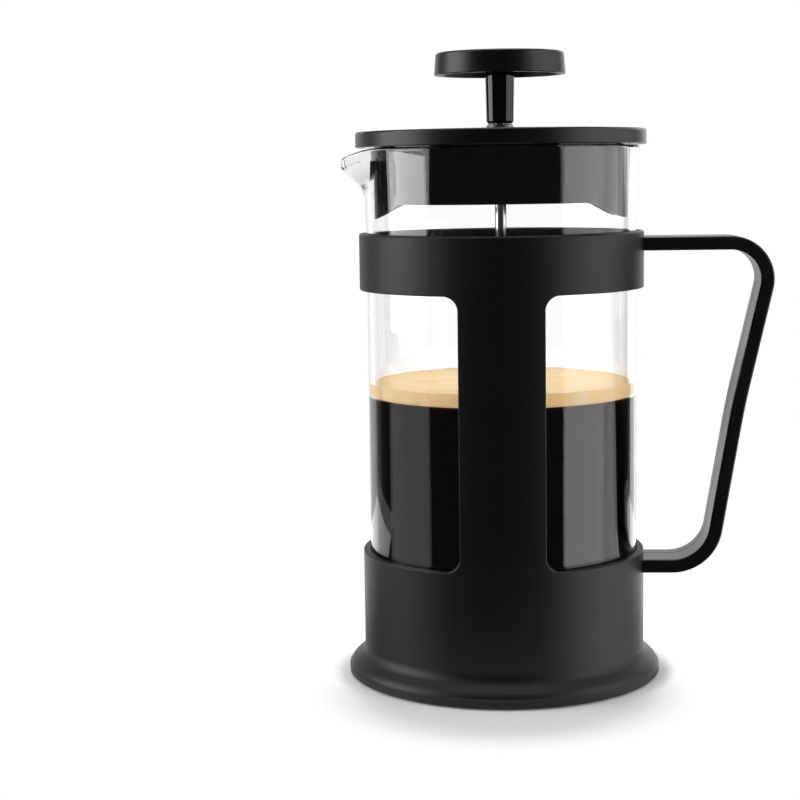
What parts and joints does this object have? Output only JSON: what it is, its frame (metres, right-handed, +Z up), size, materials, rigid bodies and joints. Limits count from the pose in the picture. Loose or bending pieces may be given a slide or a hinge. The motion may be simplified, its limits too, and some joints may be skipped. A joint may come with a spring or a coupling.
{
  "type": "french press",
  "caption": "French press coffee maker: glass beaker with spout in a black plastic holder with strap handle, lid with strainer skirt, and a plunger with flat knob and mesh filter.",
  "frame": {"origin": "centre of the base on the table", "axes": "+Z up, +X towards the handle, the beaker's spout points to -X, the holder's straps stand at -Y and +Y"},
  "size_m": [0.153, 0.1128, 0.2225],
  "materials": {
    "frame_plastic": "matte black moulded plastic with a fine spark-eroded grain",
    "handle_plastic": "smooth satin black moulded plastic",
    "plate_plastic": "plain black moulded plastic",
    "cap_plastic": "matte black moulded plastic with a fine spark-eroded grain",
    "knob_plastic": "matte black moulded plastic with a fine spark-eroded grain",
    "strainer_plastic": "polished black plastic",
    "stem_plastic": "polished black plastic",
    "beaker_glass": "clear borosilicate glass, fire-polished rim",
    "silicone": "matte dark silicone",
    "bush_metal": "satin pressed metal",
    "rod_steel": "polished stainless steel",
    "collar_steel": "turned stainless steel",
    "plate_steel": "pressed stainless sheet",
    "spring_steel": "drawn stainless wire",
    "mesh_steel": "fine woven stainless wire",
    "screw_steel": "zinc plated steel",
    "insert_brass": "machined brass"
  },
  "bodies": {
    "holder": {"holder_frame": "frame_plastic", "handle": "handle_plastic", "handle_screws": "screw_steel", "base_plate": "plate_plastic", "anti_slip_ring": "silicone", "beaker_cushion": "silicone"},
    "beaker": {"glass_beaker": "beaker_glass"},
    "bush": {"rod_bush": "bush_metal"},
    "lid": {"lid_cap": "cap_plastic", "lid_strainer": "strainer_plastic"},
    "plunger": {"plunger_knob": "knob_plastic", "knob_stem": "stem_plastic", "knob_insert": "insert_brass", "plunger_rod": "rod_steel", "rod_stop_collar": "collar_steel", "spiral_plate": "plate_steel", "spiral_spring": "spring_steel", "mesh_screen": "mesh_steel", "cross_plate": "plate_steel", "hub_nut": "collar_steel"}
  },
  "joints": [
    {"name": "beaker_lift", "type": "slide", "parent": "holder", "child": "beaker", "axis": [0, 0, 1], "range_m": [0, 0.155]},
    {"name": "lid_lift", "type": "slide", "parent": "beaker", "child": "bush", "axis": [0, 0, 1], "range_m": [0, 0.18]},
    {"name": "lid_turn", "type": "hinge", "parent": "bush", "child": "lid", "pos_m": [0, 0, 0.192], "axis": [0, 0, 1], "continuous": true},
    {"name": "plunger_slide", "type": "slide", "parent": "bush", "child": "plunger", "axis": [0, 0, 1], "range_m": [0, 0.14]}
  ]
}
